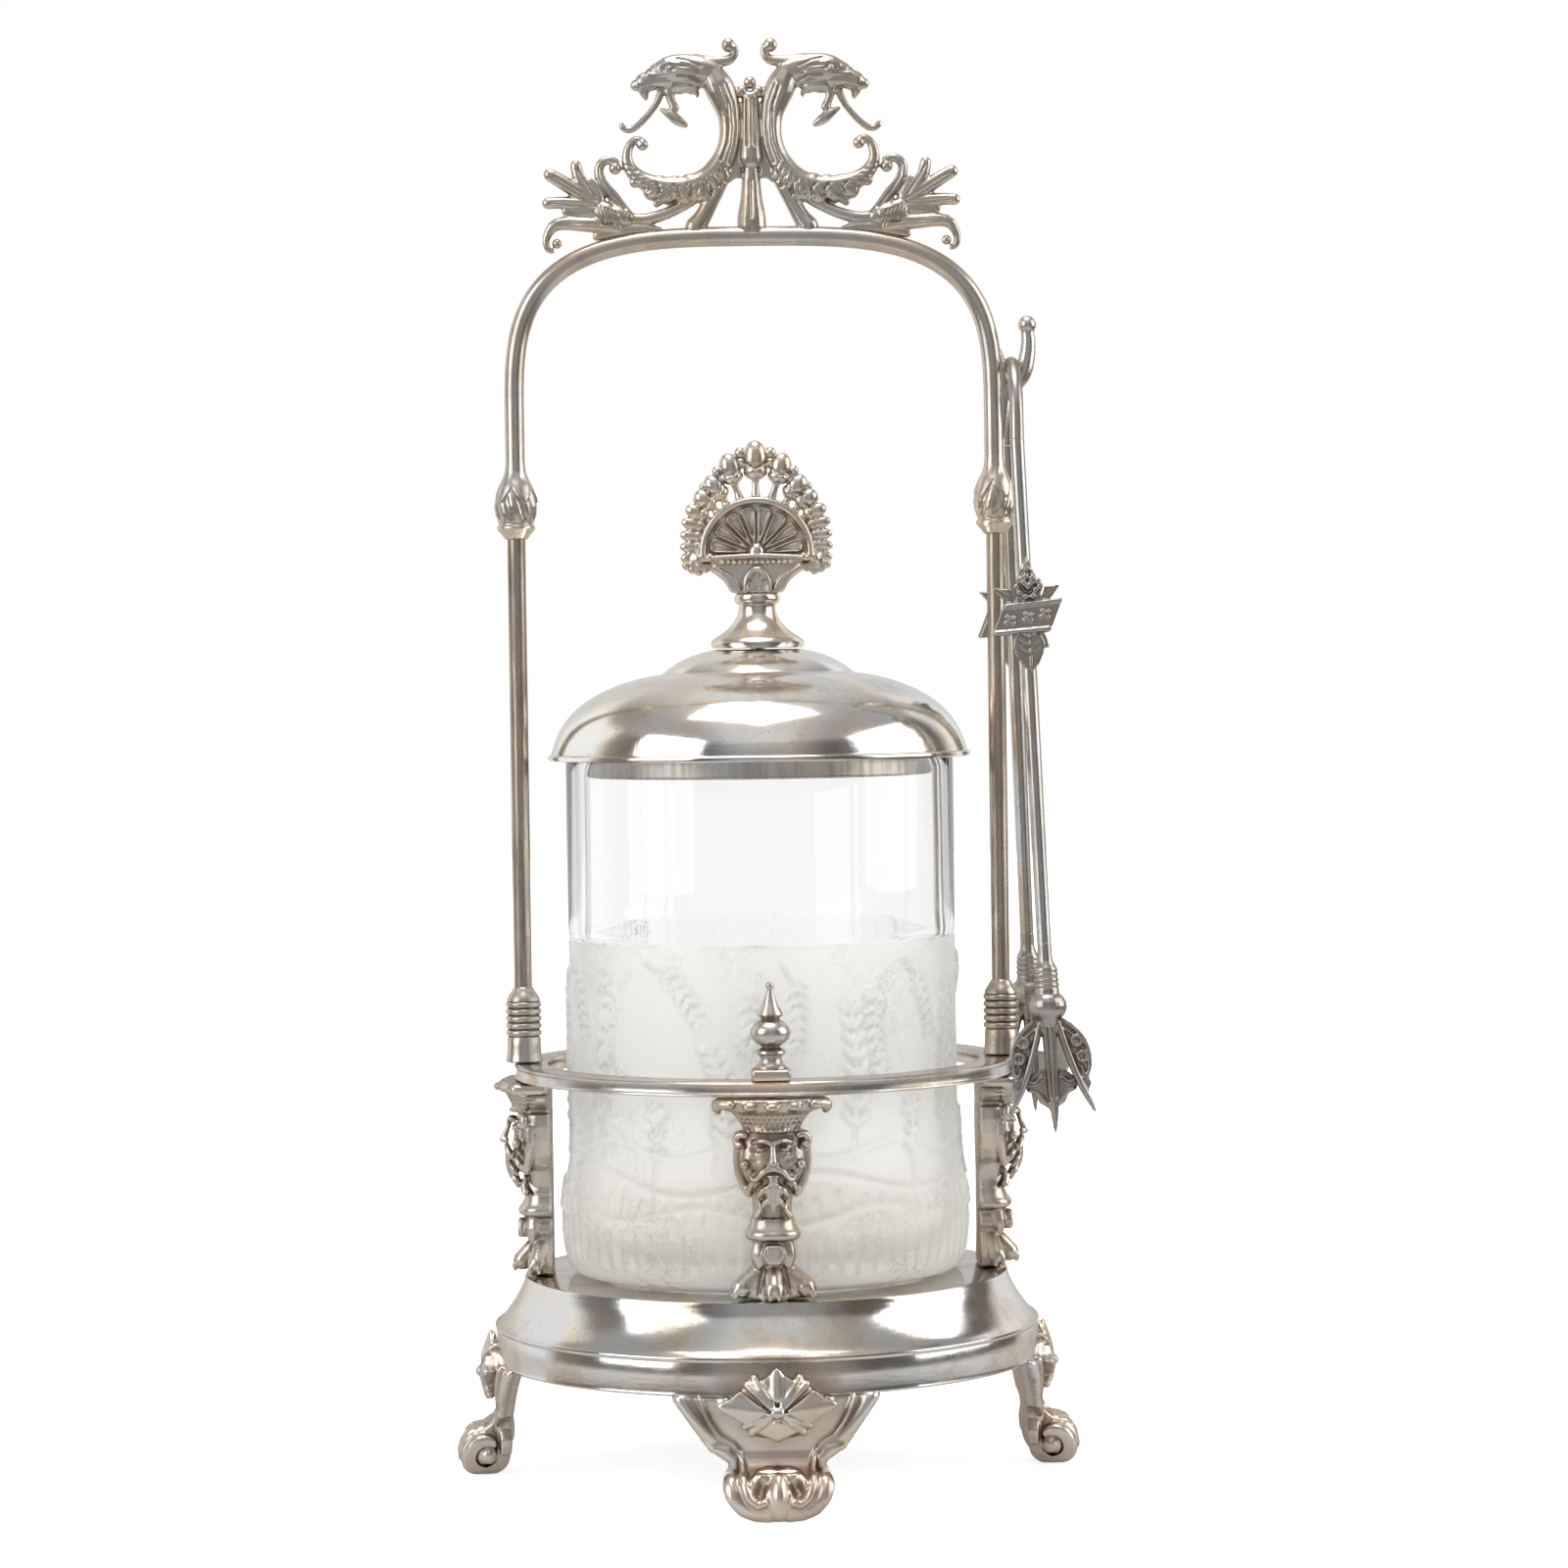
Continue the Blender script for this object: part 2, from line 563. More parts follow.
def make_base():
    profile = [(0, PLATFORM_TOP)]
    cove = []
    for out_share, down_share in COVE_SHARES:
        radius = PLATFORM_RADIUS + out_share * (COVE_FOOT_RADIUS - PLATFORM_RADIUS)
        cove.append((radius, PLATFORM_TOP - down_share * COVE_HEIGHT))
    profile.append((PLATFORM_RADIUS - BASE_WALL / 2, PLATFORM_TOP))
    profile += cove
    profile += [(BAND_RADIUS, BAND_TOP), (BAND_RADIUS, STAND_HEIGHT)]
    inside = BAND_RADIUS - BASE_WALL
    underside = PLATFORM_TOP - BASE_WALL
    profile += [(inside, STAND_HEIGHT), (inside, BAND_TOP - BASE_WALL)]
    profile += [(radius - BASE_WALL, height - BASE_WALL) for radius, height in reversed(cove)]
    profile += [(PLATFORM_RADIUS - 2 * BASE_WALL, underside), (0, underside)]
    base = turned("base_plate", profile, BASE_SIDES)
    holes = bmesh.new()
    for _, turn in QUARTERS:
        low = out_from_axis(SCREW_PLACE_RADIUS, turn, underside - CUT_OVERRUN)
        high = out_from_axis(SCREW_PLACE_RADIUS, turn, PLATFORM_TOP + CUT_OVERRUN)
        rod(holes, low, high, SCREW_RADIUS + GAP, SMALL_SIDES)
    boolean(base, object_from("screw_holes", holes), "DIFFERENCE")
    finish_of(base, SILVER, 0.18)


def foot_ring(u, radius, height, slope, thickness):
    """One cross-section of a foot's strap, with a raised border along each edge of its face."""
    border = min(FOOT_BORDER, u / 3)
    raised = thickness / 2
    sunk = raised - FOOT_SUNK
    outline = [(-u, raised), (border - u, raised), (2 * border - u, sunk)]
    outline += [(-side, depth) for side, depth in reversed(outline)]
    outline += [(u, -raised), (-u, -raised)]
    return [
        bent_round(side, radius + depth * math.cos(slope), height + depth * math.sin(slope))
        for side, depth in outline
    ]


def foot_strap(bm):
    """The strap from under the band down to the toe, which rolls outwards and up."""
    face_radius = BAND_RADIUS + FOOT_PROUD
    toe_height = TOE_RADIUS * math.cos(TOE_TURN / TOE_STEPS / 2) - TOE_WEAR
    climb = STAND_HEIGHT - GAP - toe_height
    rings = []
    for height_share, width_share, thickness_share in FOOT_SHARES:
        thickness = FOOT_THICKNESS * thickness_share
        radius = face_radius - thickness / 2
        width = FOOT_HALF_WIDTH * width_share
        rings.append(foot_ring(width, radius, toe_height + climb * height_share, 0, thickness))
    toe_centre = face_radius - FOOT_THICKNESS + TOE_RADIUS
    for step in range(1, TOE_STEPS + 1):
        share = step / TOE_STEPS
        turn = math.pi + TOE_TURN * share
        coil = (TOE_RADIUS - FOOT_THICKNESS / 2) * (1 - (1 - TOE_END_RADIUS_SHARE) * share ** 3)
        radius = toe_centre + coil * math.cos(turn) - TOE_SHIFT * share ** 4
        height = toe_height + coil * math.sin(turn)
        width = FOOT_HALF_WIDTH * (FOOT_SHARES[-1][1] * (1 - share) + TOE_END_WIDTH_SHARE * share)
        thickness = FOOT_THICKNESS * (1 - TOE_THINNING_SHARE * share)
        rings.append(foot_ring(width, radius, height, turn + math.pi, thickness))
    bridge(bm, rings)


def foot_rosette(bm):
    """Four pointed petals and a boss, which stand before the band and the strap's top."""
    back = BAND_RADIUS + GAP
    rings = []
    for size, depth_share in ROSETTE_LEVEL_SHARES:
        ring = []
        for i in range(4 * ROSETTE_PETALS):
            turn = math.tau * i / (4 * ROSETTE_PETALS)
            reach = size
            if i % 2:
                reach = size * ROSETTE_WAIST_SHARE
            elif i % 4:
                reach = size * ROSETTE_SHOULDER_SHARE
            u = ROSETTE_HALF_WIDTH * reach * math.cos(turn)
            height = ROSETTE_HEIGHT + ROSETTE_HALF_HEIGHT * reach * math.sin(turn)
            ring.append(bent_round(u, back + ROSETTE_DOME * depth_share, height))
        rings.append(ring)
    bridge(bm, rings)
    ball(bm, bent_round(0, back + ROSETTE_DOME, ROSETTE_HEIGHT), ROSETTE_BOSS_RADIUS)
    root_height = ROSETTE_HEIGHT - ROSETTE_ROOT_DROP
    root = bent_round(0, BAND_RADIUS - FOOT_THICKNESS / 2, root_height)
    tip = bent_round(0, back + ROSETTE_DOME / 2, root_height)
    rod(bm, root, tip, ROSETTE_ROOT_RADIUS, SMALL_SIDES)


def floor_cutter():
    """All that lies under the floor, which the rolled toes are cut flat by."""
    reach = BAND_RADIUS + 2 * TOE_RADIUS
    bm = bmesh.new()
    size = Matrix.Diagonal((2 * reach, 2 * reach, CUT_OVERRUN, 1))
    bmesh.ops.create_cube(bm, size=1, matrix=Matrix.Translation((0, 0, -CUT_OVERRUN / 2)) @ size)
    return object_from("floor_cutter", bm)


def make_feet():
    strap = bmesh.new()
    foot_strap(strap)
    rosette = bmesh.new()
    foot_rosette(rosette)
    pattern = as_helper(fused("foot_pattern", strap, rosette))
    boolean(pattern, floor_cutter(), "DIFFERENCE")
    mesh = settled(pattern)
    for name, turn in QUARTERS:
        foot = add_object("foot_" + name, mesh.copy())
        foot.rotation_euler.z = turn
        finish_of(foot, SILVER, 0.25)


def post_ring(height, half_width, depth):
    """One cross-section of a post: a flat back towards the jar and a rounded front."""
    ring = [(half_width, 0.0), (-half_width, 0.0)]
    for step in range(POST_ARC_STEPS + 1):
        turn = math.pi * (1 - step / POST_ARC_STEPS)
        out_share = POST_BACK_SHARE + (1 - POST_BACK_SHARE) * math.sin(turn)
        ring.append((half_width * math.cos(turn), depth * out_share))
    return [Vector((x, -POST_BACK_RADIUS - out, height)) for x, out in ring]


def post_mask(bm):
    """A face with a nose, a curl at each side and a beard."""
    outward = Vector((0, -1, 0))
    drop = Vector((0, 0, -1))
    out_x = Vector((1, 0, 0))
    depth = POST_BACK_RADIUS + POST_DEPTH * MASK_DEPTH_SHARE
    face = Vector((0, -depth, POST_BOTTOM + POST_HEIGHT * MASK_HEIGHT_SHARE))
    shape = Matrix.Translation(face) @ Matrix.Diagonal((MASK_HALF_WIDTH, MASK_RELIEF, MASK_HALF_HEIGHT, 1))
    bmesh.ops.create_uvsphere(bm, u_segments=CREST_SIDES, v_segments=BALL_STEPS, radius=1, matrix=shape)
    bridge_of_nose = face + outward * (MASK_RELIEF - NOSE_RADIUS / 2) - drop * NOSE_LENGTH / 2
    nose = [bridge_of_nose, bridge_of_nose + drop * NOSE_LENGTH + outward * NOSE_RADIUS]
    tube(bm, nose, (NOSE_RADIUS / 2, NOSE_RADIUS), out_x, 4)
    chin = face + (drop * MASK_HALF_HEIGHT + outward * MASK_RELIEF) * CHIN_SHARE
    beard = [chin + drop * BEARD_LENGTH * down for down, _ in BEARD_SHARES]
    tube(bm, beard, [BEARD_RADIUS * size for _, size in BEARD_SHARES], out_x, CREST_SIDES)
    for side in (-1, 1):
        ball(bm, face + Vector((side * MASK_HALF_WIDTH, 0, 0)), SIDE_CURL_RADIUS)


def post_paw(bm):
    """The three toes of the paw that the post stands on."""
    up = Vector((0, 0, 1))
    depth = POST_BACK_RADIUS + POST_DEPTH * PAW_DEPTH_SHARE
    ankle = Vector((0, -depth, POST_BOTTOM + PAW_TOE_RADIUS + GAP))
    for side in (-1, 0, 1):
        heading = out_from_axis(1, side * PAW_TOE_TURN, 0)
        path = [
            ankle + heading * PAW_TOE_LENGTH * along + up * PAW_TOE_RADIUS * rise
            for along, rise, _ in PAW_TOE_SHARES
        ]
        radii = [PAW_TOE_RADIUS * size for _, _, size in PAW_TOE_SHARES]
        tube(bm, path, radii, heading.cross(up), CREST_SIDES)


def post_ears(bm):
    """The scrolls at the capital's corners."""
    radius = EAR_RADIUS - GAP
    for side in (-1, 1):
        x = side * (POST_HALF_WIDTH - EAR_RADIUS / 2)
        place = Vector((x, -POST_BACK_RADIUS - POST_DEPTH / 2, POST_TOP - EAR_RADIUS))
        half = Vector((0, EAR_LENGTH / 2, 0))
        rod(bm, place - half, place + half, radius, SMALL_SIDES)


def post_bores(name, stud_place):
    """The holes for the screw from below and for the stud from above."""
    bm = bmesh.new()
    foot = Vector((0, -SCREW_PLACE_RADIUS, POST_BOTTOM))
    overrun = Vector((0, 0, CUT_OVERRUN))
    rod(bm, foot - overrun, foot + Vector((0, 0, SCREW_DEPTH + GAP)), SCREW_RADIUS + GAP, SMALL_SIDES)
    top = Vector((0, -stud_place, POST_TOP))
    rod(bm, top - Vector((0, 0, STUD_DEPTH + GAP)), top + overrun, STUD_RADIUS + GAP, SMALL_SIDES)
    return object_from(name + "_post_bores", bm)


def make_posts():
    core = bmesh.new()
    bridge(core, [post_ring(POST_BOTTOM + POST_HEIGHT * high, POST_HALF_WIDTH * wide, POST_DEPTH * deep)
                  for high, wide, deep in POST_SHARES])
    details = bmesh.new()
    post_ears(details)
    post_mask(details)
    post_paw(details)
    pattern = as_helper(fused("post_pattern", core, details))
    plain = add_object("post_plain", settled(pattern))
    as_helper(plain)
    for name, turn in QUARTERS:
        stud_place = HANDLE_HALF_WIDTH if name in ("left", "right") else FINIAL_PLACE_RADIUS
        plain.modifiers.clear()
        boolean(plain, post_bores(name, stud_place), "DIFFERENCE")
        post = add_object("post_" + name, settled(plain))
        post.rotation_euler.z = turn
        finish_of(post, DARK_SILVER, 0.32)


def make_post_screws():
    head_top = PLATFORM_TOP - BASE_WALL - GAP
    tip = POST_BOTTOM + SCREW_DEPTH
    profile = [
        (0, tip), (SCREW_RADIUS, tip), (SCREW_RADIUS, head_top), (SCREW_HEAD_RADIUS, head_top),
        (SCREW_HEAD_RADIUS, head_top - SCREW_HEAD_HEIGHT), (0, head_top - SCREW_HEAD_HEIGHT),
    ]
    for name, turn in QUARTERS:
        screw = turned("post_screw_" + name, profile, SMALL_SIDES)
        screw.location = out_from_axis(SCREW_PLACE_RADIUS, turn, 0)
        finish_of(screw, DARK_SILVER, 0.45)


def make_ring():
    inner = RING_INNER_RADIUS
    outer = RING_OUTER_RADIUS
    profile = [
        (inner, RING_TOP), (outer - RING_EDGE, RING_TOP), (outer, RING_TOP - RING_EDGE),
        (outer, RING_BOTTOM + RING_EDGE), (outer - RING_EDGE, RING_BOTTOM), (inner, RING_BOTTOM),
    ]
    ring = turned("gallery_ring", profile, BASE_SIDES, closed=True)
    holes = bmesh.new()
    for name, turn in QUARTERS:
        reach = HANDLE_HALF_WIDTH if name in ("left", "right") else FINIAL_PLACE_RADIUS
        low = out_from_axis(reach, turn, RING_BOTTOM - CUT_OVERRUN)
        high = out_from_axis(reach, turn, RING_TOP + CUT_OVERRUN)
        rod(holes, low, high, STUD_RADIUS + GAP, SMALL_SIDES)
    boolean(ring, object_from("stud_holes", holes), "DIFFERENCE")
    finish_of(ring, SILVER, 0.2)


def make_finials():
    plinth_bottom = RING_TOP + GAP
    spire_bottom = plinth_bottom + PLINTH_HEIGHT - GAP
    stud_bottom = POST_TOP - STUD_DEPTH
    profile = [(SPIRE_RADIUS * wide, spire_bottom + SPIRE_HEIGHT * high) for high, wide in SPIRE_SHARES]
    profile += [(STUD_RADIUS, spire_bottom), (STUD_RADIUS, stud_bottom), (0, stud_bottom)]
    for name, turn in (QUARTERS[0], QUARTERS[2]):
        finial = turned("finial_" + name, profile, SPIRE_SIDES)
        finial.location.y = -FINIAL_PLACE_RADIUS * math.cos(turn)
        block = bmesh.new()
        size = Matrix.Diagonal((2 * PLINTH_HALF, 2 * PLINTH_HALF, PLINTH_HEIGHT, 1))
        place = Matrix.Translation((0, finial.location.y, plinth_bottom + PLINTH_HEIGHT / 2))
        bmesh.ops.create_cube(block, size=1, matrix=place @ size)
        boolean(finial, object_from(name + "_plinth", block), "UNION")
        finish_of(finial, SILVER, 0.22)


def ferrule_profile():
    """A socket for the rod, a cone, a shoulder, the ribs, a foot, and the stud below."""
    mouth = SOCKET_RADIUS + SOCKET_WALL
    stud_bottom = POST_TOP - STUD_DEPTH
    profile = [
        (0, FERRULE_TOP - SOCKET_DEPTH), (SOCKET_RADIUS, FERRULE_TOP - SOCKET_DEPTH),
        (SOCKET_RADIUS, FERRULE_TOP), (mouth, FERRULE_TOP),
    ]
    cone_foot = FERRULE_TOP - FERRULE_CONE_HEIGHT
    profile.append((FERRULE_RADIUS, cone_foot))
    ribs_top = cone_foot - FERRULE_SHOULDER_HEIGHT
    ribs_bottom = FERRULE_BOTTOM + FERRULE_FOOT_HEIGHT
    pitch = (ribs_top - ribs_bottom) / FERRULE_RIBS
    profile.append((FERRULE_RADIUS, ribs_top))
    deepest, next_rib = GROOVE_SHARES
    for i in range(FERRULE_RIBS):
        top = ribs_top - i * pitch
        profile.append((FERRULE_RADIUS - FERRULE_GROOVE, top - pitch * deepest))
        profile.append((FERRULE_RADIUS, top - pitch * next_rib))
    profile += [(FERRULE_RADIUS, ribs_bottom), (FERRULE_RADIUS - FERRULE_GROOVE, FERRULE_BOTTOM)]
    profile += [(STUD_RADIUS, FERRULE_BOTTOM), (STUD_RADIUS, stud_bottom), (0, stud_bottom)]
    return profile


def knop_profile():
    """A bud on a collar, with a blind socket for a rod at each end."""
    upper_seat = KNOP_TOP - SOCKET_DEPTH
    lower_seat = KNOP_BOTTOM + SOCKET_DEPTH
    profile = [(0, upper_seat), (SOCKET_RADIUS, upper_seat), (SOCKET_RADIUS, KNOP_TOP)]
    profile += [(KNOP_RADIUS * wide, KNOP_BOTTOM + KNOP_LENGTH * high) for high, wide in KNOP_SHARES]
    profile += [(SOCKET_RADIUS, KNOP_BOTTOM), (SOCKET_RADIUS, lower_seat), (0, lower_seat)]
    return profile


def make_uprights():
    rod_bottom = FERRULE_TOP - SOCKET_DEPTH + GAP
    rod_top = KNOP_BOTTOM + SOCKET_DEPTH - GAP
    for name, side in (("left", -1), ("right", 1)):
        x = side * HANDLE_HALF_WIDTH
        ferrule = turned("ferrule_" + name, ferrule_profile(), TURNED_SIDES)
        ferrule.location.x = x
        finish_of(ferrule, DARK_SILVER, 0.3)
        knop = turned("knop_" + name, knop_profile(), TURNED_SIDES)
        knop.location.x = x
        finish_of(knop, DARK_SILVER, 0.3)
        bar = bmesh.new()
        rod(bar, Vector((x, 0, rod_bottom)), Vector((x, 0, rod_top)), ROD_RADIUS, TURNED_SIDES)
        finish_of(object_from("rod_" + name, bar), SILVER, 0.28)


def arch_path():
    """The arch's centre line: straight up from the left knop, over a squared arch, and down."""
    power = 2 / ARCH_SQUARENESS_SHARE
    end = KNOP_TOP - SOCKET_DEPTH + GAP
    path = [Vector((-HANDLE_HALF_WIDTH, 0, end))]
    for step in range(ARCH_STEPS + 1):
        turn = math.pi * (1 - step / ARCH_STEPS)
        side = math.copysign(abs(math.cos(turn)) ** power, math.cos(turn))
        rise = abs(math.sin(turn)) ** power if 0 < step < ARCH_STEPS else 0
        path.append(Vector((HANDLE_HALF_WIDTH * side, 0, ARCH_SPRING + ARCH_RISE * rise)))
    path.append(Vector((HANDLE_HALF_WIDTH, 0, end)))
    return path


def tube_curve(name, path, radius):
    """A round bar along a path, as a curve with a bevel and filled caps."""
    data = bpy.data.curves.new(name, "CURVE")
    data.dimensions = "3D"
    data.bevel_depth = radius
    data.bevel_resolution = TUBE_BEVEL_STEPS
    data.use_fill_caps = True
    spline = data.splines.new("POLY")
    spline.points.add(len(path) - 1)
    for point, place in zip(spline.points, path):
        point.co = (*place, 1)
    return add_object(name, data)


def arch_cutter(name):
    """The space that the arch needs in a piece that is seated on it."""
    bm = bmesh.new()
    path = arch_path()
    tube(bm, path, [ROD_RADIUS + GAP] * len(path), Vector((0, 1, 0)), SMALL_SIDES)
    return object_from(name, bm)


def crest_place(share, side=1):
    return Vector((-side * CREST_HALF_WIDTH * share[0], 0, ARCH_CROWN + CREST_HEIGHT * share[1]))


def crest_limb(bm, shares, side):
    rows = smooth(shares, CREST_STEPS)
    path = [crest_place(row, side) for row in rows]
    radii = [CREST_LIMB * row[2] for row in rows]
    tube(bm, path, radii, Vector((0, 1, 0)), CREST_SIDES, CREST_FLATNESS_SHARE)


def make_crest():
    core = bmesh.new()
    column = [crest_place(share) for share in COLUMN_SHARES]
    radii = [CREST_LIMB * share[2] for share in COLUMN_SHARES]
    tube(core, column, radii, Vector((0, 1, 0)), CREST_SIDES, CREST_FLATNESS_SHARE)
    details = bmesh.new()
    limbs = (NECK_SHARES, SKULL_SHARES, JAW_SHARES, TONGUE_SHARES, GOATEE_SHARES, HORN_SHARES, LEG_SHARES,
             TWIG_SHARES, BAND_SHARES, LEAF_SHARES, *PLUME_SHARES)
    for side in (-1, 1):
        for shares in limbs:
            crest_limb(details, shares, side)
        for share in (NECK_BALL_SHARE, HORN_BALL_SHARE, BAND_BALL_SHARE):
            ball(details, crest_place(share, side), CREST_LIMB * share[2])
    for share in TREFOIL_SHARES:
        ball(details, crest_place(share), CREST_LIMB * share[2])
    crest = fused("crest", core, details)
    boolean(crest, arch_cutter("crest_seat"), "DIFFERENCE")
    finish_of(crest, DARK_SILVER, 0.3)


def make_hook():
    """A hook whose throat holds the tongs' bow, on a small plate along the right upright."""
    throat = HOOK_THROAT - HOOK_ARM_RADIUS
    ball_x = TONG_X + TONG_WIRE_RADIUS + GAP + HOOK_BALL_RADIUS
    ball_height = HOOK_THROAT + HOOK_BALL_RISE
    root_x = HANDLE_HALF_WIDTH + ROD_RADIUS
    bend_x = ball_x - HOOK_ARM_RADIUS / 4
    rows = smooth([
        (root_x, throat - HOOK_ARM_RADIUS, HOOK_ROOT_SHARE), (TONG_X, throat, 1.0),
        (bend_x, throat + HOOK_ARM_RADIUS, 1.0), (ball_x, HOOK_THROAT + HOOK_BALL_RISE / 2, 1.0),
        (ball_x, ball_height, HOOK_TIP_SHARE),
    ], HOOK_STEPS)
    out = Vector((0, 1, 0))
    arm = bmesh.new()
    path = [Vector((x, 0, z)) for x, z, _ in rows]
    tube(arm, path, [HOOK_ARM_RADIUS * size for _, _, size in rows], out, SMALL_SIDES)
    more = bmesh.new()
    ball(more, Vector((ball_x, 0, ball_height)), HOOK_BALL_RADIUS, SMALL_SIDES)
    plate_path = [Vector((root_x, 0, HOOK_THROAT - drop * HOOK_PLATE_DROP)) for drop, _ in HOOK_PLATE_SHARES]
    tube(more, plate_path, [HOOK_ARM_RADIUS * size for _, size in HOOK_PLATE_SHARES], out, SMALL_SIDES)
    hook = fused("tong_hook", arm, more)
    boolean(hook, arch_cutter("hook_seat"), "DIFFERENCE")
    finish_of(hook, DARK_SILVER, 0.3)


def make_jar():
    inner = JAR_BORE_RADIUS
    floor = JAR_BOTTOM + JAR_FLOOR
    frosted = [
        (JAR_RADIUS + JAR_BULGE * bulge, JAR_BOTTOM + FROST_LINE_HEIGHT * high)
        for high, bulge in JAR_FOOT_SHARES
    ]
    profile = [
        (0, floor), (inner - JAR_WALL, floor), (inner, floor + JAR_WALL),
        (inner, JAR_TOP - JAR_WALL / 2), (inner + GAP, JAR_TOP),
        (JAR_RADIUS - GAP, JAR_TOP), (JAR_RADIUS, JAR_TOP - JAR_WALL / 2),
        (JAR_RADIUS - FROST_STEP, FROST_LINE + JAR_WALL), (JAR_RADIUS - FROST_STEP, FROST_LINE),
        (JAR_RADIUS, FROST_LINE - FROST_STEP),
    ]
    profile += frosted
    profile += [(JAR_RADIUS - JAR_WALL / 2, JAR_BOTTOM), (0, JAR_BOTTOM)]
    jar = turned("jar_glass", profile, JAR_SIDES)
    finish_of(jar, GLASS, 0.2, 0.0)


def make_lid():
    hole = LID_STUD_RADIUS + GAP
    rise = LID_TOP - LID_BOTTOM
    outer = [(hole, LID_TOP)] + [(LID_RADIUS * wide, LID_BOTTOM + rise * high) for wide, high in LID_SHARES]
    lip = [
        (LID_RADIUS, LID_BOTTOM + LIP_BEAD), (LID_RADIUS - LIP_BEAD, LID_BOTTOM),
        (LID_RADIUS - LIP_BEAD - LID_WALL, LID_BOTTOM + LIP_BEAD),
    ]
    inner = [(radius - LID_WALL, height - LID_WALL) for radius, height in reversed(outer[1:])]
    lid = turned("lid_dome", outer + lip + inner + [(hole, LID_TOP - LID_WALL)], LID_SIDES, closed=True)
    finish_of(lid, SILVER, 0.16)


def make_lid_collar():
    """A band that hangs in the jar's mouth, with a flange that rests on the jar's rim."""
    inner = COLLAR_RADIUS - COLLAR_WALL
    flange_bottom = COLLAR_TOP - COLLAR_WALL
    lip_inside = LID_RADIUS * LID_SHARES[-1][0] - LID_WALL
    flange = lip_inside - FLANGE_CLEARANCE
    profile = [
        (inner, COLLAR_TOP), (flange, COLLAR_TOP), (flange, flange_bottom),
        (COLLAR_RADIUS, flange_bottom), (COLLAR_RADIUS, COLLAR_BOTTOM), (inner, COLLAR_BOTTOM),
    ]
    finish_of(turned("lid_inner_collar", profile, LID_SIDES, closed=True), SILVER, 0.2)


def make_lid_stem():
    stud_bottom = STEM_BOTTOM - LID_STUD_LENGTH
    profile = [(0, STEM_TOP)]
    profile += [(STEM_RADIUS * wide, STEM_BOTTOM + STEM_HEIGHT * high) for high, wide in STEM_SHARES]
    profile += [(LID_STUD_RADIUS, STEM_BOTTOM), (LID_STUD_RADIUS, stud_bottom), (0, stud_bottom)]
    finish_of(turned("lid_stem", profile, 2 * SMALL_SIDES), SILVER, 0.2)


def make_lid_nut():
    top = LID_TOP - LID_WALL - GAP
    bore = LID_STUD_RADIUS + GAP
    profile = [(bore, top), (NUT_RADIUS, top), (NUT_RADIUS, top - NUT_HEIGHT), (bore, top - NUT_HEIGHT)]
    finish_of(turned("lid_nut", profile, NUT_SIDES, closed=True), DARK_SILVER, 0.4)


def fan_point(reach, turn, y=0.0):
    """A point of the fan: its distance from the hub, and its turn from straight up."""
    return Vector((reach * math.sin(turn), y, FAN_HUB + reach * math.cos(turn)))


def fan_bracket():
    """The outline of the bracket that carries the fan, as (x, z) points."""
    wide, high = BRACKET_WAIST_SHARE
    half = [
        (BRACKET_TOP_HALF, FAN_HUB + FAN_RIM), (BRACKET_TOP_HALF, FAN_HUB - FAN_RIM),
        (BRACKET_FOOT_HALF * wide, FAN_BOTTOM + BRACKET_HEIGHT * high), (BRACKET_FOOT_HALF, FAN_BOTTOM),
    ]
    return half + [(-x, z) for x, z in reversed(half)]


def fan_buds(bm):
    """The buds that stand around the fan on stalks, smaller towards its ends."""
    out = Vector((0, 1, 0))
    centre = Vector((0, 0, FAN_HUB + BUD_CENTRE_RISE))
    for i in range(-BUDS_EACH_SIDE, BUDS_EACH_SIDE + 1):
        turn = i * BUD_SPREAD
        size = 1 - BUD_SHRINK_SHARE * abs(i)
        tip_reach = BUD_REACH if i else BUD_REACH + BUD_TOP_RISE
        tip = centre + Vector((math.sin(turn), 0, math.cos(turn))) * tip_reach
        root = fan_point(FAN_RADIUS, turn * BUD_ROOT_SHARE)
        span = tip - root
        length = min(BUD_LENGTH * size, span.length * BUD_SPAN_SHARE)
        heading = span.normalized()
        path = [root] + [tip - heading * length * back for back, _ in BUD_SHARES]
        radii = [BUD_RADIUS * size * share for share in (STALK_SHARE, *(wide for _, wide in BUD_SHARES))]
        tube(bm, path, radii, out, CREST_SIDES)


def make_fan():
    arc = [math.pi * (step / FAN_STEPS - 0.5) for step in range(FAN_STEPS + 1)]
    core = bmesh.new()
    outline = [(FAN_RADIUS * math.sin(turn), FAN_HUB + FAN_RADIUS * math.cos(turn)) for turn in arc]
    plate(core, outline, FAN_THICKNESS / 2, FAN_THICKNESS)
    details = bmesh.new()
    out = Vector((0, 1, 0))
    rim = [fan_point(FAN_RADIUS, turn) for turn in arc]
    tube(details, rim, [FAN_BEAD_RADIUS] * len(rim), out, CREST_SIDES)
    for face in (-FAN_THICKNESS / 2, FAN_THICKNESS / 2):
        for i in range(FAN_FLUTES):
            turn = math.pi * ((i + 0.5) / FAN_FLUTES - 0.5)
            low, high = fan_point(FAN_HUB_RADIUS, turn, face), fan_point(FAN_RADIUS - FAN_RIM, turn, face)
            tube(details, [low, high], (FLUTE_RELIEF, FLUTE_HALF_WIDTH), out, 4)
    plate(details, fan_bracket(), BRACKET_THICKNESS / 2, BRACKET_THICKNESS)
    fan_buds(details)
    finish_of(fused("lid_fan_finial", core, details), DARK_SILVER, 0.3)


